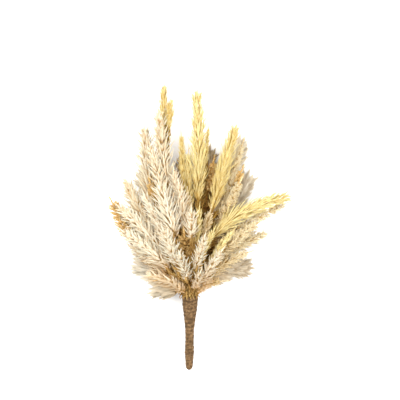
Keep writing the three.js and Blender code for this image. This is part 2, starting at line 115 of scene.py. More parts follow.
HANDLE_WAY = np.array([
    math.sin(HANDLE_LEAN),
    math.cos(HANDLE_TILT) * math.cos(HANDLE_LEAN),
    math.sin(HANDLE_TILT) * math.cos(HANDLE_LEAN),
])
HANDLE_UP = np.array([0, -math.sin(HANDLE_TILT), math.cos(HANDLE_TILT)])
HANDLE_ACROSS = np.cross(HANDLE_WAY, HANDLE_UP)
wrap_low, wrap_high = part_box("wrap_jute_tape")
MOUTH = np.array([(wrap_low.x + wrap_high.x) / 2,
                  wrap_high.y - RADII[0] * math.sin(HANDLE_TILT), MOUTH_HEIGHT])

FLOOR_GAP = 0.15 * MM  # what the lowest hairs keep from the surface


class Surface:
    """Points and triangles gathered for one mesh, with each point's normal and its shades.

    The three shades of a hair are how far out along its lock a point is, the tone of its colour
    and how far inside the bundle it is, each from 0 to 1. On stems and sheaths the third is
    IS_STEM. The three shades of the tape are how far a point is from the tape's edge, a tone
    that doesn't show, and the height of the weave.
    """

    def __init__(self):
        self.points, self.normals, self.shades, self.faces = [], [], [], []
        self.count = 0

    def add(self, points, faces, normals, shades):
        """Adds points, each with its normal and shades, and the triangles between them."""
        self.points.append(points.reshape(-1, 3))
        self.normals.append(normals.reshape(-1, 3))
        self.shades.append(shades.reshape(-1, 3))
        self.faces.append(faces.reshape(-1, 3) + self.count)
        self.count += len(self.points[-1])

    def piece(self, name, material):
        """The finished object. Its shades are a colour attribute that the material reads."""
        points = np.concatenate(self.points)
        points[:, 2] = np.maximum(points[:, 2], FLOOR_GAP)
        mesh = bpy.data.meshes.new(name)
        mesh.from_pydata(points.tolist(), [], np.concatenate(self.faces).tolist())
        shades = mesh.color_attributes.new("shades", "FLOAT_COLOR", "POINT")
        values = np.ones((len(points), 4))
        values[:, :3] = np.concatenate(self.shades)
        shades.data.foreach_set("color", values.ravel())
        mesh.polygons.foreach_set("use_smooth", [True] * len(mesh.polygons))
        mesh.normals_split_custom_set_from_vertices(unit(np.concatenate(self.normals)).tolist())
        mesh.materials.append(material)
        piece = bpy.data.objects.new(name, mesh)
        bpy.context.scene.collection.objects.link(piece)
        return piece


def for_each(faces, count, corners):
    """The faces of one hair, husk or core, once for each of them."""
    return np.array(faces)[None] + np.arange(count)[:, None, None] * corners


BLADE_ROOT = 0.8  # a hair's width at its root, as a share of its greatest


def blades(surface, paths, widths, facing, twist, shades):
    """Flat tapered hairs: a path's points are pairs of corners, and its last is the tip."""
    count, steps, _ = paths.shape
    corners = 2 * steps - 1
    ways = unit(np.gradient(paths, axis=1))
    sides = unit(np.cross(ways, facing[:, None, :]))
    sides = turned(sides, ways, np.repeat(twist[:, None], steps, axis=1))
    half = widths[:, None, None] / 2 * sides[:, :-1]
    half = half * np.linspace(BLADE_ROOT, 1, steps - 1)[None, :, None]
    pairs = np.stack([paths[:, :-1] - half, paths[:, :-1] + half], 2).reshape(count, -1, 3)
    points = np.concatenate([pairs, paths[:, -1:]], axis=1)
    faces = []
    for a in range(0, corners - 3, 2):
        faces += [[a, a + 1, a + 3], [a, a + 3, a + 2]]
    faces.append([corners - 3, corners - 2, corners - 1])
    normals = np.repeat(facing[:, None, :], corners, axis=1)
    shades = np.concatenate([np.repeat(shades[:, :-1], 2, axis=1), shades[:, -1:]], axis=1)
    surface.add(points, for_each(faces, count, corners), normals, shades)


BELLY = 0.4  # how far along a husk its widest place is


def grains(surface, places, ways, facing, sizes, shades):
    """Small husks: a point, three corners round its widest place and a point."""
    across = unit(np.cross(ways, facing))
    over = np.cross(ways, across)
    length, width = sizes[:, :1], sizes[:, 1:]
    belly = places + BELLY * length * ways
    corners = [(math.cos(a), math.sin(a)) for a in (0, 2 * math.pi / 3, 4 * math.pi / 3)]
    ring = [belly + 0.5 * width * (across * c + over * s) for c, s in corners]
    points = np.stack([places, *ring, places + length * ways], axis=1)
    faces = [[0, 2, 1], [0, 3, 2], [0, 1, 3], [4, 1, 2], [4, 2, 3], [4, 3, 1]]
    normals = unit(unit(points - belly[:, None, :]) + facing[:, None, :])
    shades = np.repeat(shades[:, None, :], points.shape[1], axis=1)
    surface.add(points, for_each(faces, len(places), points.shape[1]), normals, shades)


SKEW = np.array([0.31, 0.17, 0.93])  # a way in which no stem points


def tube(surface, line, radii, sides, shades):
    """A round stem along a line, closed by a point at its last place."""
    ways = unit(np.gradient(line, axis=0))
    across = unit(np.cross(ways, SKEW))[:, None]
    over = np.cross(ways, across[:, 0])[:, None]
    angles = np.arange(sides) * 2 * math.pi / sides
    out = across * np.cos(angles)[None, :, None] + over * np.sin(angles)[None, :, None]
    points = line[:, None] + out * radii[:, None, None]
    k, side = np.meshgrid(np.arange(len(line) - 1), np.arange(sides), indexing="ij")
    a, b = k * sides + side, k * sides + (side + 1) % sides
    faces = np.stack([np.stack([a, b, b + sides], -1), np.stack([a, b + sides, a + sides], -1)], 2)
    surface.add(points, faces, out, np.repeat(shades[:, None, :], sides, axis=1))


MICROMETRE = 6  # decimal places of a metre
LEAST_POINTS = 4  # of a stem's line


def skeleton(node, sides):
    """A plume's stem and branchlets, read from its CAD node: ring after ring of corners from the
    foot to the tip, and the branchlets' ends. The ends are the only other points, and each of
    them touches four corners. Vertices in one place, to a micrometre, are one corner."""
    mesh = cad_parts[node].data
    corners = np.array([vertex.co for vertex in mesh.vertices])
    places, numbers = np.unique(np.round(corners, MICROMETRE), axis=0, return_inverse=True)
    numbers = numbers.ravel()
    beside = [set() for _ in places]
    for face in mesh.polygons:
        a, b, c = (int(numbers[vertex]) for vertex in face.vertices)
        beside[a] |= {b, c}
        beside[b] |= {a, c}
        beside[c] |= {a, b}
    ring = {int(k) for k in np.argsort(places @ HANDLE_WAY)[:sides]}
    ends = {k for k, near in enumerate(beside) if len(near) == 4} - ring
    seen = set(ends)
    rings = []
    while ring:
        rings.append(ring)
        seen |= ring
        ring = {m for k in ring for m in beside[k]} - seen
    line = np.array([places[sorted(ring)].mean(axis=0) for ring in rings])
    ways = unit(np.gradient(line, axis=0))
    found = []
    for end in sorted(ends):
        row = next(n for n, ring in enumerate(rings) if len(beside[end] & ring) == 2)
        root = places[sorted(beside[end] & rings[row])].mean(axis=0)
        found.append((row, line[row], root, places[end], ways[row]))
    rows, centres, roots, tips, along = (np.array(column) for column in zip(*found))
    return dict(line=line, rows=rows, centres=centres, roots=roots, tips=tips, ways=along,
                head=rows.min() - 1)


def evened(line, step, rounds):
    """A line in equal steps with its bends rounded."""
    marks = np.concatenate([[0], np.cumsum(np.linalg.norm(np.diff(line, axis=0), axis=1))])
    places = np.linspace(0, marks[-1], max(int(marks[-1] / step), LEAST_POINTS))
    even = np.stack([np.interp(places, marks, line[:, axis]) for axis in range(3)], axis=1)
    for _ in range(rounds):
        even[1:-1] = (even[:-2] + 2 * even[1:-1] + even[2:]) / 4
    return even


# The middle of the bundle, where the hairs are painted browner as shade: its height, how far it
# reaches across, up and past the mouth, and how fast it ends there.
CENTRE_HEIGHT = 45 * MM
INNER_REACH = np.array([85, 45]) * MM
INNER_LENGTH = 210 * MM
INNER_FADE = 1.6


def innerness(points):
    """How near points are to the bundle's middle: 1 there and 0 past its painted shade."""
    off = np.stack([points[:, 0] - MOUTH[0], points[:, 2] - CENTRE_HEIGHT], axis=1) / INNER_REACH
    past = (points[:, 1] - MOUTH[1]) / INNER_LENGTH
    fade = np.clip(INNER_FADE - INNER_FADE * past, 0, 1)
    return np.clip(1 - np.linalg.norm(off, axis=1), 0, 1) * fade


# How far the first lock of a branchlet and the others are turned round the stem and shifted
# along it, as shares of the distance to the next branchlet, and how the first one's length
# varies.
TURNS = (0.35, 1.0)
SHIFTS = (0.6, 1.6)
FIRST_LENGTH = (0.9, 1.06)

# A head's form: how full it is at its foot and how fast it fills from there. No branchlet is
# shorter than the share FULLNESS of what the form gives it, unless it would then reach past the
# stem's tip by more than the share PAST_TIP of the head's length.
FOOT = 0.5
FILLING = 2.5
FULLNESS = 0.9
PAST_TIP = 0.1
LEAST_AHEAD = 0.1  # the least that a branchlet counts as pointing ahead, for its length

ROOT_DEPTH = 0.35  # where locks start, as a share of the way from the stem's middle to its skin
LOCK_HEIGHT = 2 * MM  # the least height of a lock's middle above the surface
NUDGE = 1e-4  # settles which way is outwards for a lock that runs along its stem
TONE_SPREAD = 0.2  # how far the tones of a plume's locks, and of a lock's hairs, lie apart


def locks_of(bones, kind, random):
    """The locks' roots, bows and ends, which way is outwards on them, their tones and sizes,
    and how far inside the bundle they are."""
    count = kind["locks"]
    rows, centres, roots, tips, ways = (
        np.repeat(bones[name], count, axis=0)
        for name in ("rows", "centres", "roots", "tips", "ways"))
    first = np.tile(np.arange(count) == 0, len(bones["rows"]))
    size = len(rows)
    steps = len(bones["line"]) - bones["head"]
    spacing = np.linalg.norm(np.diff(bones["line"][bones["head"]:-1], axis=0), axis=1).mean()
    turn = np.where(first, *TURNS) * either_way(random, 0.5, size) * 2 * math.pi / kind["sides"]
    shift = np.where(first, *SHIFTS) * either_way(random, 0.5, size) * spacing
    length = kind["reach"] * np.where(first, random.uniform(*FIRST_LENGTH, size),
                                      random.uniform(*kind["fill"], size))
    own = np.linalg.norm(tips - roots, axis=1)
    along = (rows - bones["head"]) / steps
    form = np.minimum(1, FOOT + FILLING * along) * (1 - along) ** kind["taper"]
    full = (own / form).max()
    ahead = (1 + PAST_TIP - along) * spacing * steps
    ahead /= np.maximum(np.sum(unit(tips - roots) * ways, axis=1), LEAST_AHEAD)
    length *= np.maximum(own, np.minimum(FULLNESS * full * form, ahead))
    side = turned(roots - centres, ways, turn)
    way = turned(unit(tips - roots), ways, turn)
    way = unit(way + kind["stray"] * either_way(random, 1, (size, 3)))
    centres = centres + ways * shift[:, None]
    start = centres + ROOT_DEPTH * side
    end = centres + side + way * length[:, None]
    end[:, 2] = np.maximum(end[:, 2], LOCK_HEIGHT)
    run = end - start
    out = run - ways * np.sum(run * ways, axis=1, keepdims=True)
    out = unit(out + unit(start - centres) * NUDGE)
    bend = start + run / 2 + out * np.linalg.norm(run, axis=1, keepdims=True) * kind["bow"]
    bend[:, 2] = np.maximum(bend[:, 2], LOCK_HEIGHT)
    tone = np.clip(bones["tone"] + either_way(random, TONE_SPREAD, size), 0, 1)
    return dict(start=start, bend=bend, end=end, out=out, tone=tone,
                size=1 - kind["slim"] * along, inner=innerness((start + 2 * end) / 3))


def on_lock(locks, share):
    """Points at shares of the locks' lengths: share has a row for each lock."""
    s = share[..., None]
    start, bend, end = (locks[name][:, None, :] for name in ("start", "bend", "end"))
    return start * (1 - s) ** 2 + bend * 2 * s * (1 - s) + end * s**2


# Along a lock: the share of its length at which it is full, its width at its root as a share of
# its greatest, and the share at which it would narrow to nothing.
LOCK_FULL = 0.25
LOCK_ROOT = 0.25
LOCK_END = 1.02


def lock_width(share, point):
    """A lock's width as a share of its greatest: quickly full, then narrowing to a point."""
    return np.clip(share / LOCK_FULL, LOCK_ROOT, 1) * np.clip(LOCK_END - share, 0, 1) ** point


UPWARD = np.array([0, 0, 1.0])  # turns the hairs' normals up: fine hair is lit from all round
CORE_SHARES = np.array([0.03, 0.3, 0.7])  # where along a lock its core has corners
CORE_SIDES = 3
CORE_ANGLE = math.pi / 6  # of the first corner, so that a flat side faces outwards
CORE_ROUND = 0.4  # how round a core is shaded


def cores(surface, locks, side, half, kind):
    """The close middle of every lock: a three-sided spindle, flat outwards, with a point."""
    count = len(side)
    share = np.tile(CORE_SHARES, (count, 1))
    wide = (half * lock_width(share, kind["point"]))[..., None, None]
    angles = CORE_ANGLE + np.arange(CORE_SIDES) * 2 * math.pi / CORE_SIDES
    around = np.stack([side * math.cos(a) + locks["out"] * math.sin(a) for a in angles], axis=1)
    around = around[:, None]
    rings = on_lock(locks, share)[:, :, None] + wide * around
    points = np.concatenate([rings.reshape(count, -1, 3), locks["end"][:, None]], axis=1)
    faces = []
    for ring in range(len(CORE_SHARES) - 1):
        for k in range(CORE_SIDES):
            a, b = CORE_SIDES * ring + k, CORE_SIDES * ring + (k + 1) % CORE_SIDES
            faces += [[a, b + CORE_SIDES, b], [a, a + CORE_SIDES, b + CORE_SIDES]]
    last = CORE_SIDES * (len(CORE_SHARES) - 1)
    for k in range(CORE_SIDES):
        faces.append([last + (k + 1) % CORE_SIDES, last + k, last + CORE_SIDES])
    ahead = unit(locks["end"] - locks["start"])[:, None]
    normals = np.repeat(CORE_ROUND * around, len(CORE_SHARES), axis=1).reshape(count, -1, 3)
    normals = np.concatenate([normals + locks["out"][:, None] + UPWARD, ahead + UPWARD], axis=1)
    shares = np.concatenate([np.repeat(share, CORE_SIDES, axis=1), np.ones((count, 1))], axis=1)
    tone, inner = (np.repeat(locks[name][:, None], shares.shape[1], axis=1)
                   for name in ("tone", "inner"))
    surface.add(points, for_each(faces, count, points.shape[1]), normals,
                np.stack([shares, tone, inner], axis=-1))


# How far from a lock's middle its hairs and husks are: the least, as a share of the core's
# thickness, and the most, as a share of the lock's width. A lock is flatter than wide.
NEAREST = 0.7
FURTHEST = 1.1
FLATNESS = 0.6


def strewn(locks, side, half, kind, shares, random):
    """Ways out of the locks' middles, and how far they lead at each of the shares given."""
    angle = random.uniform(0, 2 * math.pi, shares[0].shape)
    far = random.uniform(NEAREST * kind["core"], FURTHEST, shares[0].shape)
    ways = side[:, None] * (far * np.cos(angle))[..., None]
    ways = ways + locks["out"][:, None] * (FLATNESS * far * np.sin(angle))[..., None]
    return ways, [ways * (half * lock_width(share, kind["point"]))[..., None] for share in shares]


VARIED = (0.7, 1.3)  # the least and the greatest length and width of a hair, to the usual one
LAST_ROOT = 0.6  # how much of a hair's length lies ahead of the last root on a lock
ROOT_POWER = 0.9  # moves the roots a little towards the lock's end
HAIR_END = 1.04  # the share of a lock's length that its hairs may reach
HAIR_FAN = (0.75, 1.2)  # how far hairs gather at their roots and fan out at their ends
HAIR_ROUND = 0.5  # how round a lock of hairs is shaded
HAIR_TWIST = 0.7  # how far hairs are twisted about their own way, in radians
FLECK_POWER = 3  # so that few locks have many seed-brown hairs


def hairs_on(surface, locks, side, half, kind, random):
    """Straight fine hairs on every lock. Some of them are seed-brown."""
    shape = len(side), kind["hairs"]
    count = shape[0] * shape[1]
    root = random.uniform(0, 1 - LAST_ROOT * kind["hair"], shape) ** ROOT_POWER
    length = kind["hair"] * random.uniform(*VARIED, shape)
    shares = [root, np.minimum(root + length, HAIR_END)]
    out, offsets = strewn(locks, side, half, kind, shares, random)
    paths = np.stack([on_lock(locks, share) + offset * fan
                      for share, offset, fan in zip(shares, offsets, HAIR_FAN)], axis=2)
    facing = unit(locks["out"][:, None] + HAIR_ROUND * out + UPWARD)
    tone = np.clip(locks["tone"][:, None] + either_way(random, TONE_SPREAD, shape), 0, 1)
    inner = np.repeat(locks["inner"][:, None], shape[1], axis=1)
    pale = random.uniform(0, 1, shape)
    pale = pale > kind["flecks"] * random.uniform(0, 1, (shape[0], 1)) ** FLECK_POWER
    shades = np.stack([np.stack([share * pale, tone, inner], axis=-1) for share in shares], axis=2)
    widths = kind["blade"] * MM * random.uniform(*VARIED, count)
    blades(surface, paths.reshape(-1, 2, 3), widths, facing.reshape(-1, 3),
           either_way(random, HAIR_TWIST, count), shades.reshape(-1, 2, 3))


FIRST_GRAIN = 0.12  # the share of a lock's length at which its husks start
GRAIN_SIZES = (0.75, 1.2)  # the least and the greatest size of a husk, to the usual one
GRAIN_STEP = 0.05  # the share of a lock's length over which a husk's way is taken
GRAIN_OUT = 0.6  # how far husks point outwards
GRAIN_STRAY = 0.3
GRAIN_ROUND = 0.8  # how round a lock of husks is shaded
GRAIN_SHADE = 0.3  # the first shade of a husk at its lock's root


def grains_on(surface, locks, side, half, kind, random):
    """Small husks strewn along every lock."""
    shape = len(side), kind["grains"]
    share = np.sort(random.uniform(FIRST_GRAIN, 1, shape), axis=1)
    out, (offset,) = strewn(locks, side, half, kind, [share], random)
    places = on_lock(locks, share) + offset
    ahead = unit(on_lock(locks, share + GRAIN_STEP) - on_lock(locks, share))
    ways = unit(ahead + GRAIN_OUT * out + either_way(random, GRAIN_STRAY, out.shape))
    facing = unit(locks["out"][:, None] + GRAIN_ROUND * out + UPWARD)
    sizes = random.uniform(*GRAIN_SIZES, (shape[0] * shape[1], 1))
    tone = random.uniform(0, 1, shape)
    inner = np.repeat(locks["inner"][:, None], shape[1], axis=1)
    shades = np.stack([GRAIN_SHADE + (1 - GRAIN_SHADE) * share, tone, inner], axis=-1)
    grains(surface, places.reshape(-1, 3), ways.reshape(-1, 3), facing.reshape(-1, 3),
           np.array(kind["grain"]) * MM * sizes, shades.reshape(-1, 3))


def dress(surface, locks, kind, random):
    """A core, hairs and husks on every lock."""
    side = unit(np.cross(locks["end"] - locks["start"], locks["out"]))
    half = kind["lock"] * MM / 2 * locks["size"][:, None]
    cores(surface, locks, side, half * kind["core"], kind)
    hairs_on(surface, locks, side, half, kind, random)
    if kind["grains"]:
        grains_on(surface, locks, side, half, kind, random)


IS_STEM = -1.0  # the third shade of stems and sheaths

# The stems: their radius and how it shrinks from their foot to their tip, the length of one step
# of their line, how often its bends are rounded, their sides, and the range of their tones.
STEM_RADIUS = 0.85 * MM
STEM_SHRINKS = ((0, 0.5, 0.97, 1), (1, 0.9, 0.45, 0.02))
STEM_STEP = 4 * MM
STEM_ROUNDS = 3
STEM_SIDES = 5
STEM_TONES = (0.2, 0.8)

# The leaf sheaths on the bare stems. From SHEATHS_FROM to SHEATHS_TO above the mouth there are
# SHEATHS of them to each step of a stem, and the share OVER_RIM of those hang over the rim. Past
# that there are LEAVES to a step, longer and wider by the factors given. SHEATH_LENGTH and
# SHEATH_WIDTH are ranges in mm, SHEATH_BOW is a share of the length and SHEATH_TWIST in radians.
# HANGING and STANDING are how far sheaths point ahead for each part that they point outwards.
SHEATHS_FROM = 0.5 * MM
SHEATHS_TO = 26 * MM
SHEATHS = 6
OVER_RIM = 0.35
LEAVES = 8
LEAF_LENGTH = 2.2
LEAF_WIDTH = 1.8
SHEATH_LENGTH = (5, 11)
SHEATH_WIDTH = (1.0, 2.2)
SHEATH_SPREAD = 1 * MM  # how far from the stem they may start
SHEATH_BOW = 0.12
SHEATH_TWIST = 0.6
HANGING = (-1.4, 0.2)
STANDING = (0.3, 3)


def sheaths(surface, line, random):
    """Dry leaf sheaths on the bare stem above the mouth, some of them over the tape's rim."""
    above = (line - MOUTH) @ HANDLE_WAY
    near = np.flatnonzero((above > SHEATHS_FROM) & (above < SHEATHS_TO))
    past = np.flatnonzero(above >= SHEATHS_TO)
    places = np.concatenate([np.repeat(near, SHEATHS), np.repeat(past, LEAVES)])
    count = len(places)
    low = above[places] < SHEATHS_TO
    base = line[places] + either_way(random, 1, (count, 3)) * SHEATH_SPREAD
    from_axis = base - MOUTH
    from_axis = unit(from_axis - HANDLE_WAY * (from_axis @ HANDLE_WAY)[:, None])
    out = unit(from_axis + either_way(random, 1, (count, 3)))
    hang = low & (random.uniform(0, 1, count) < OVER_RIM)
    ahead = np.where(hang, random.uniform(*HANGING, count), random.uniform(*STANDING, count))
    stem_way = unit(np.gradient(line, axis=0))[places]
    way = unit(out + np.where(low[:, None], HANDLE_WAY, stem_way) * ahead[:, None])
    size = random.uniform(*SHEATH_LENGTH, (count, 1)) * MM
    size = size * np.where(low, 1, LEAF_LENGTH)[:, None]
    paths = np.stack([base, base + (way / 2 + SHEATH_BOW * out) * size, base + way * size], axis=1)
    outward = np.tile([0.2, 0.6, 1.0], (count, 1))
    tone = np.repeat(random.uniform(0, 1, (count, 1)), 3, axis=1)
    shades = np.stack([outward, tone, np.full((count, 3), IS_STEM)], axis=-1)
    widths = random.uniform(*SHEATH_WIDTH, count) * MM * np.where(low, 1, LEAF_WIDTH)
    blades(surface, paths, widths, out, either_way(random, SHEATH_TWIST, count), shades)


# The last lock of a plume: the point of the stem's line at which it starts, how far it reaches
# past the stem's tip, how many times the hairs of a lock it has, which grows with its width by a
# power, and the power by which it narrows.
TIP_ROOT = -3
TIP_HAIR = 8 * MM
TIP_HAIRS = 4
TIP_GROWTH = 1.5
TIP_POINT = 0.9


def dress_tip(surface, bones, kind, random):
    """The lock of hair that reaches past the tip of a plume's stem."""
    root, tip = bones["line"][TIP_ROOT], bones["line"][-1]
    end = tip + unit(tip - root) * TIP_HAIR
    lock = dict(start=root[None], bend=((root + end) / 2)[None], end=end[None],
                out=UPWARD[None], tone=np.array([bones["tone"]]), inner=np.zeros(1),
                size=np.array([kind["tip"] * (1 - kind["slim"])]))
    more = int(TIP_HAIRS * kind["tip"] ** TIP_GROWTH)
    kind = dict(kind, point=TIP_POINT, core=kind["core"] / kind["tip"],
                hairs=kind["hairs"] * more, grains=kind["grains"] * more)
    dress(surface, lock, kind, random)


# The plumes' tones, from 0, brown, to 1, pale. Those on top of the bundle are paler than those
# under them, whose browner tone is painted shade. The soft plumes all lie low, and each has its
# own.
TONE_HEIGHTS = np.array([20, 70]) * MM
TONES = (0.15, 0.9)
OWN_TONE = 0.15  # how far a plume's tone may be off
SOFT_TONES = (0.7, 0.1, 0.05, 0.6, 0.6, 0.5, 0.5, 0.9, 0.9, 0.6, 0.9)


def plume(node, kind, material, random):
    """One plume: its stem and sheaths, its head's locks and one more lock at its tip."""
    bones = skeleton(node, kind["sides"])
    name, number = node.split("_")[1:]
    height = bones["line"][bones["head"]:, 2].mean()
    # Painted shade: the lower a plume's head lies, the browner its tone.
    bones["tone"] = np.interp(height, TONE_HEIGHTS, TONES) + either_way(random, OWN_TONE)
    if name == "soft":
        bones["tone"] = SOFT_TONES[int(number) - 1]
    surface = Surface()
    line = evened(bones["line"], STEM_STEP, STEM_ROUNDS)
    radii = STEM_RADIUS * np.interp(np.linspace(0, 1, len(line)), *STEM_SHRINKS)
    shades = np.tile([0, random.uniform(*STEM_TONES), IS_STEM], (len(line), 1))
    tube(surface, line, radii, STEM_SIDES, shades)
    head = np.linalg.norm(line - bones["line"][bones["head"]], axis=1).argmin()
    sheaths(surface, line[:head], random)
    dress(surface, locks_of(bones, kind, random), kind, random)
    dress_tip(surface, bones, kind, random)
    piece = surface.piece(node.replace("plume", "dried_plume"), material)
    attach(piece, "root")
    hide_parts(node)


def handle_radius(down):
    """The handle's outer radius at distances below its mouth, rounded off at its end."""
    marks = np.arange(len(RADII)) * RADIUS_STEP
    radius = np.interp(down, marks, RADII)
    left = np.clip((HANDLE_LENGTH - down) / END_ROUND, 0, 1)
    return radius * np.sqrt(1 - (1 - left) ** 2)


def on_axis(down):
    """Points on the handle's axis, at distances below its mouth."""
    return MOUTH - HANDLE_WAY * down[..., None]


def in_handle(angle, radius, down):
    """Points round the handle's axis, at distances below its mouth."""
    return (on_axis(down) + HANDLE_ACROSS * (radius * np.cos(angle))[..., None]
            + HANDLE_UP * (radius * np.sin(angle))[..., None])


def waves(angle, share, rows):
    """Waves round the handle and across the tape: rows of height, the two paces and a start."""
    return sum(height * np.sin(angle * fast + share * aslant + start)
               for height, fast, aslant, start in rows)


# The jute tape: its width, the step from turn to turn and the thickness of its cloth.
TAPE_WIDTH = 15 * MM
TAPE_PITCH = 6.2 * MM
TAPE_THICKNESS = 0.7 * MM
TAPE_GRID = 0.7 * MM  # the mesh's spacing on the tape
TAPE_LIFT = 0.9  # how high its upper edge lies over the last turn, in thicknesses
TAPE_FALL = 1.6  # and how far it falls from there to its lower edge
TAPE_WANDER = ((0.5 * MM, 0.37, 0, 1.1), (0.3 * MM, 1.31, 0, 0))  # waves along the handle
TAPE_SLACK = ((0.22 * MM, 2.7, 5, 0), (0.15 * MM, 7.9, -9, 0))  # waves in and out
THREAD = 2.1 * MM  # from thread to thread, coarser than the real jute so that the weave shows
THREAD_HEIGHT = 0.22 * MM
SELVAGE = 0.3  # the weave's height at the tape's edges, as a share of that
# The dark along the tape's edges is painted shade where each turn steps over the last.
EDGE_SHADE = 1.5  # how many threads deep the dark along its edges goes


def wound_tape(surface, random):
    """The tape, wound from the mouth down, each turn's upper edge lying over the last turn."""
    turns = (HANDLE_LENGTH + TAPE_WIDTH) / TAPE_PITCH
    steps = int(turns * 2 * math.pi * RADII.mean() / TAPE_GRID)
    across = int(TAPE_WIDTH / TAPE_GRID)
    angle, share = np.meshgrid(np.linspace(0, turns * 2 * math.pi, steps),
                               np.linspace(0, 1, across + 1), indexing="ij")
    down = angle / (2 * math.pi) * TAPE_PITCH - TAPE_WIDTH + share * TAPE_WIDTH
    down = down + waves(angle, share, TAPE_WANDER)
    shown = (down > 0) & (down < HANDLE_LENGTH)
    down = np.clip(down, 0, HANDLE_LENGTH)
    length = angle * RADII.mean()
    edge = np.minimum(share, 1 - share) * TAPE_WIDTH / THREAD
    weave = np.sin(math.pi * length / THREAD) * np.sin(math.pi * share * TAPE_WIDTH / THREAD)
    bare = handle_radius(down)
    radius = bare + TAPE_THICKNESS * (TAPE_LIFT - TAPE_FALL * share)
    radius = radius + waves(angle, share, TAPE_SLACK)
    radius = radius + THREAD_HEIGHT * weave * np.clip(edge, SELVAGE, 1)
    # The upper edge's last points lie a thickness deeper, so that the cloth shows its thickness.
    radius = np.where(share == 0, radius - TAPE_THICKNESS, radius) * (bare > 0)
    points = in_handle(angle, np.maximum(radius, 0), down)
    rows, columns = points.shape[:2]
    i, j = np.meshgrid(np.arange(rows - 1), np.arange(columns - 1), indexing="ij")
    keep = shown[:-1, :-1] | shown[1:, 1:] | shown[1:, :-1] | shown[:-1, 1:]
    a = (i * columns + j)[keep]
    faces = np.stack([np.stack([a, a + columns + 1, a + 1], -1),
                      np.stack([a, a + columns, a + columns + 1], -1)], 1)
    # The tone doesn't show, but without its random draws all that come later would differ.
    tone = 0.5 + 0.25 * np.sin(length / (9 * MM)) + either_way(random, 0.15, angle.shape)
    shades = [np.clip(edge / EDGE_SHADE, 0, 1), np.clip(tone, 0, 1), 0.5 + 0.5 * weave]
    surface.add(points, faces, unit(points - on_axis(down)), np.stack(shades, axis=-1))


# The loose fibres: how many there are and how far down the handle, how far off its surface they
# start, how far they point outwards, how they bow and twist, and their length (a range in mm),
# width and shades.
FIBRES = 420
FIBRES_TO = 0.97
FIBRE_LIFT = 0.1 * MM
FIBRE_OUT = 0.35
FIBRE_MIDDLE = 0.6
FIBRE_BOW = 0.15
FIBRE_TWIST = 1
FIBRE_LENGTH = (1.2, 3.6)
FIBRE_WIDTH = 0.14 * MM
FIBRE_SHADES = (1.0, 0.9, 0.9)


def loose_fibres(surface, random):
    """Jute fibres that have worked loose from the tape, all round the handle."""
    angle = random.uniform(0, 2 * math.pi, FIBRES)
    down = random.uniform(0, FIBRES_TO, FIBRES) * HANDLE_LENGTH
    base = in_handle(angle, handle_radius(down) + FIBRE_LIFT, down)
    out = unit(base - on_axis(down))
    way = unit(out * FIBRE_OUT + unit(either_way(random, 1, (FIBRES, 3))))
    size = random.uniform(*FIBRE_LENGTH, (FIBRES, 1)) * MM
    middle = base + way * size * FIBRE_MIDDLE + out * size * FIBRE_BOW
    paths = np.stack([base, middle, base + way * size], axis=1)
    blades(surface, paths, np.full(FIBRES, FIBRE_WIDTH), out,
           either_way(random, FIBRE_TWIST, FIBRES), np.tile(FIBRE_SHADES, (FIBRES, 3, 1)))


def jute_wrap(material, random):
    """The handle's wound tape with its loose fibres."""
    surface = Surface()
    wound_tape(surface, random)
    loose_fibres(surface, random)
    piece = surface.piece("jute_tape_turns", material)
    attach(piece, "root")
    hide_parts("wrap_jute_tape")


def colour(hex_code):
    """An sRGB hex value as linear red, green, blue and alpha."""
    parts = [int(hex_code[k:k + 2], 16) / 255 for k in (1, 3, 5)]
    return [c / 12.92 if c <= 0.04045 else ((c + 0.055) / 1.055) ** 2.4 for c in parts] + [1]


def add(tree, kind, inputs=None, **settings):
    """Adds a node with its own settings, and its sockets' values or links."""
    node = tree.nodes.new(kind)
    for name, value in settings.items():
        setattr(node, name, value)
    for name, value in (inputs or {}).items():
        if isinstance(value, bpy.types.NodeSocket):
            tree.links.new(value, node.inputs[name])
        else:
            node.inputs[name].default_value = value
    return node


def empty_material(name):
    """A material without nodes, and its node tree."""
    material = bpy.data.materials.new(name)
    material.use_nodes = True
    material.node_tree.nodes.clear()
    return material, material.node_tree


def shades_of(tree):
    """The three shades that each point of the surface carries."""
    shades = add(tree, "ShaderNodeAttribute", attribute_name="shades", attribute_type="GEOMETRY")
    split = add(tree, "ShaderNodeSeparateColor", {"Color": shades.outputs["Color"]})
    return split.outputs[0], split.outputs[1], split.outputs[2]


STEM_BROWN = "#a57c3f"  # the darkest stems and sheaths
LIGHT_THROUGH = 0.4  # the share of their light that hairs let through

# Along a lock: where the colour of its root has faded out, where that of its tip sets in, and
# how strong that gets. The root's brown is partly the hairs' own and partly painted shade in
# the gaps between locks. Then how strong the root's colour gets in the middle of the bundle,
# where it is painted shade.
ROOT_FADED = 0.5
TIP_FROM = 0.8
TIP_STRENGTH = 0.55
INNER_STRENGTH = 0.8


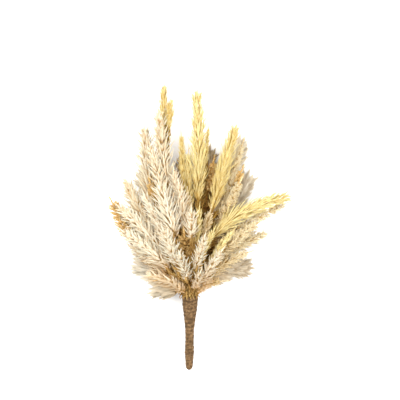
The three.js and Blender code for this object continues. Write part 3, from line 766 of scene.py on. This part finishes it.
def dried_plume(name, root, body, light, tip, stem):
    """Dried grass hairs: dry and unpolished, they let some light through. Each lock is browner
    at its root, partly its own colour and partly painted shade between locks, and the middle
    of the bundle is painted browner as shade. Each lock has its own tone and turns to another
    colour near its end. The stem and its leaf sheaths are brown to tan."""
    material, tree = empty_material(name)
    outward, tone, inside = shades_of(tree)
    own = add(tree, "ShaderNodeMix", {0: tone, 6: colour(body), 7: colour(light)},
              data_type="RGBA")
    # The root's brown: partly the hairs' own colour, partly painted shade in the gaps between
    # locks.
    depth = add(tree, "ShaderNodeMapRange", {"Value": outward, "From Max": ROOT_FADED})
    inner = add(tree, "ShaderNodeMix",
                {0: depth.outputs[0], 6: colour(root), 7: own.outputs[2]}, data_type="RGBA")
    ends = add(tree, "ShaderNodeMapRange",
               {"Value": outward, "From Min": TIP_FROM, "To Max": TIP_STRENGTH})
    outer = add(tree, "ShaderNodeMix",
                {0: ends.outputs[0], 6: inner.outputs[2], 7: colour(tip)}, data_type="RGBA")
    # Painted shade: the middle of the bundle takes the roots' brown.
    brown = add(tree, "ShaderNodeMapRange", {"Value": inside, "To Max": INNER_STRENGTH})
    shaded_middle = add(tree, "ShaderNodeMix",
               {0: brown.outputs[0], 6: outer.outputs[2], 7: colour(root)}, data_type="RGBA")
    straw = add(tree, "ShaderNodeMix", {0: tone, 6: colour(STEM_BROWN), 7: colour(stem)},
                data_type="RGBA")
    is_stem = add(tree, "ShaderNodeMath", {0: inside, 1: IS_STEM / 2}, operation="LESS_THAN")
    whole = add(tree, "ShaderNodeMix",
                {0: is_stem.outputs[0], 6: shaded_middle.outputs[2], 7: straw.outputs[2]},
                data_type="RGBA")
    shader = add(tree, "ShaderNodeBsdfPrincipled",
                 {"Base Color": whole.outputs[2], "Roughness": 0.85, "Specular IOR Level": 0.2})
    through = add(tree, "ShaderNodeBsdfTranslucent", {"Color": whole.outputs[2]})
    both = add(tree, "ShaderNodeMixShader",
               {0: LIGHT_THROUGH, 1: shader.outputs[0], 2: through.outputs[0]})
    add(tree, "ShaderNodeOutputMaterial", {"Surface": both.outputs[0]})
    return material


# The tape's colours: the gaps between threads, which are painted shade, the threads' ridges, the
# worn places on them, and the dark of its blotches and of the painted shade along its edges.
GAP_BROWN = "#443320"
THREAD_BROWN = "#7a5e3f"
WORN_TAN = "#967652"
DARK_BROWN = "#3a2b1b"

# The worn places on the threads and the blotches on the tape: their size and the values of the
# noise between which they set in. Then how much of the threads' colour is left in the darkest
# blotches and in the painted shade at the tape's edges.
WORN_SIZE = 1.2 * MM
WORN_FROM, WORN_TO = 0.35, 0.7
BLOTCH_SIZE = 4.5 * MM
BLOTCH_FROM, BLOTCH_TO = 0.4, 0.6
LEFT_IN_BLOTCHES = 0.3
LEFT_AT_EDGES = 0.2
RELIEF = 0.3 * MM  # how high the fibres stand


def jute_tape():
    """Woven jute: coarse matt threads, pale on their ridges and where they are worn, with painted
    shade in the gaps between them, darker in blotches, and painted shade along the tape's edges."""
    material, tree = empty_material("woven jute tape")
    edge, _, weave = shades_of(tree)
    place = add(tree, "ShaderNodeTexCoord").outputs["Object"]
    fibre = add(tree, "ShaderNodeTexNoise",
                {"Vector": place, "Scale": 1 / WORN_SIZE, "Detail": 3, "Roughness": 0.7})
    blotch = add(tree, "ShaderNodeTexNoise",
                 {"Vector": place, "Scale": 1 / BLOTCH_SIZE, "Detail": 2})
    worn = add(tree, "ShaderNodeMapRange",
               {"Value": fibre.outputs[0], "From Min": WORN_FROM, "From Max": WORN_TO})
    dark = add(tree, "ShaderNodeMapRange",
               {"Value": blotch.outputs[0], "From Min": BLOTCH_FROM, "From Max": BLOTCH_TO,
                "To Min": LEFT_IN_BLOTCHES})
    # Painted shade along the tape's edges, where each turn steps over the last.
    edges = add(tree, "ShaderNodeMapRange", {"Value": edge, "To Min": LEFT_AT_EDGES})
    shade = add(tree, "ShaderNodeMath", {0: dark.outputs[0], 1: edges.outputs[0]},
                operation="MULTIPLY")
    # Painted shade in the gaps between threads, where the weave is low.
    threads = add(tree, "ShaderNodeMix",
                  {0: weave, 6: colour(GAP_BROWN), 7: colour(THREAD_BROWN)}, data_type="RGBA")
    fibres = add(tree, "ShaderNodeMix",
                 {0: worn.outputs[0], 6: threads.outputs[2], 7: colour(WORN_TAN)},
                 data_type="RGBA")
    whole = add(tree, "ShaderNodeMix",
                {0: shade.outputs[0], 6: colour(DARK_BROWN), 7: fibres.outputs[2]},
                data_type="RGBA")
    relief = add(tree, "ShaderNodeBump",
                 {"Height": fibre.outputs[0], "Strength": 0.6, "Distance": RELIEF})
    shader = add(tree, "ShaderNodeBsdfPrincipled",
                 {"Base Color": whole.outputs[2], "Roughness": 0.95, "Specular IOR Level": 0.15,
                  "Normal": relief.outputs[0]})
    add(tree, "ShaderNodeOutputMaterial", {"Surface": shader.outputs[0]})
    return material


# The photograph's frame: where the mouth lies in it, and the size of one of its 400 by 400
# pixels at a height in the middle of the bundle. The lens and the sensor are in mm.
FRAME_PIXELS = 400
MOUTH_PIXEL = (190, 296)
PIXEL = 1.55 * MM
PLANE_HEIGHT = 45 * MM
LENS = 100
SENSOR = 36

# The studio: half the floor's width in metres and its colour, where its square soft lights hang,
# their width in metres and their power in watts, and the strength of the white light from all
# round.
FLOOR_HALF = 3
PAPER_WHITE = "#fbfaf8"
LIGHTS = {"key": ((-0.8, 0.7, 1.6), 1.6, 40), "fill": ((1.1, -0.2, 1.5), 1.6, 30)}
SKY = 1.22


def studio():
    """The pale floor, the soft lights and the camera that looks straight down."""
    material, tree = empty_material("pale paper floor")
    paper = add(tree, "ShaderNodeBsdfPrincipled",
                {"Base Color": colour(PAPER_WHITE), "Roughness": 0.9})
    add(tree, "ShaderNodeOutputMaterial", {"Surface": paper.outputs[0]})
    mesh = bpy.data.meshes.new("floor")
    low, high = -FLOOR_HALF, FLOOR_HALF
    mesh.from_pydata([(low, low, 0), (high, low, 0), (high, high, 0), (low, high, 0)], [],
                     [(0, 1, 2, 3)])
    mesh.materials.append(material)
    floor = bpy.data.objects.new("floor", mesh)
    bpy.context.scene.collection.objects.link(floor)

    off = (FRAME_PIXELS / 2 - np.array(MOUTH_PIXEL)) * PIXEL
    middle = MOUTH[:2] + np.array([1, -1]) * off
    camera = bpy.data.objects.new("camera", bpy.data.cameras.new("camera"))
    camera.data.lens = LENS
    camera.data.sensor_width = SENSOR
    camera.location = (*middle, PLANE_HEIGHT + LENS / SENSOR * FRAME_PIXELS * PIXEL)
    bpy.context.scene.collection.objects.link(camera)
    bpy.context.scene.camera = camera

    for name, (place, width, power) in LIGHTS.items():
        light = bpy.data.objects.new(name, bpy.data.lights.new(name, "AREA"))
        light.data.size = width
        light.data.energy = power
        light.location = place
        light.rotation_euler = (-light.location).to_track_quat("-Z", "Y").to_euler()
        bpy.context.scene.collection.objects.link(light)
    world = bpy.data.worlds.new("studio")
    world.use_nodes = True
    world.node_tree.nodes["Background"].inputs["Color"].default_value = colour("#ffffff")
    world.node_tree.nodes["Background"].inputs["Strength"].default_value = SKY
    bpy.context.scene.world = world
    bpy.context.scene.view_settings.view_transform = "Standard"


# The colours of each kind of plume: a lock's root, also used as painted shade between locks and
# in the bundle's middle, the brown and the pale end of its tones, its tip, and the palest stems.
MATERIALS = {
    "cream": dried_plume("dried pampas hair, cream", root="#d9a652", body="#e4d1a7",
                         light="#f3eedb", tip="#f8f4e6", stem="#dcba74"),
    "straw": dried_plume("dried grass strands, straw yellow", root="#cc9e36", body="#dfc26c",
                         light="#fcf3bc", tip="#fbf2c0", stem="#d9b45c"),
    "gold": dried_plume("dried grass husks, gold", root="#a8742a", body="#d8a04a",
                        light="#fbdf9c", tip="#fae4a8", stem="#c9974a"),
    "beige": dried_plume("dried grass husks, beige", root="#d6a850", body="#ecd6a2",
                         light="#fdf2d0", tip="#fcf3d6", stem="#d6ac5e"),
    "soft": dried_plume("dried pampas fluff, taupe", root="#c9ac7c", body="#c4aa80",
                        light="#f1e9d5", tip="#efe6d6", stem="#c9a560"),
}

random = np.random.default_rng(SEED)
studio()
jute_wrap(jute_tape(), random)
for node in sorted(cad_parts):
    if node.startswith("plume"):
        name = node.split("_")[1]
        plume(node, KINDS[name], MATERIALS[name], random)


def corners(bounds):
    """A box's two corners as plain lists."""
    return [[float(value) for value in corner] for corner in bounds]
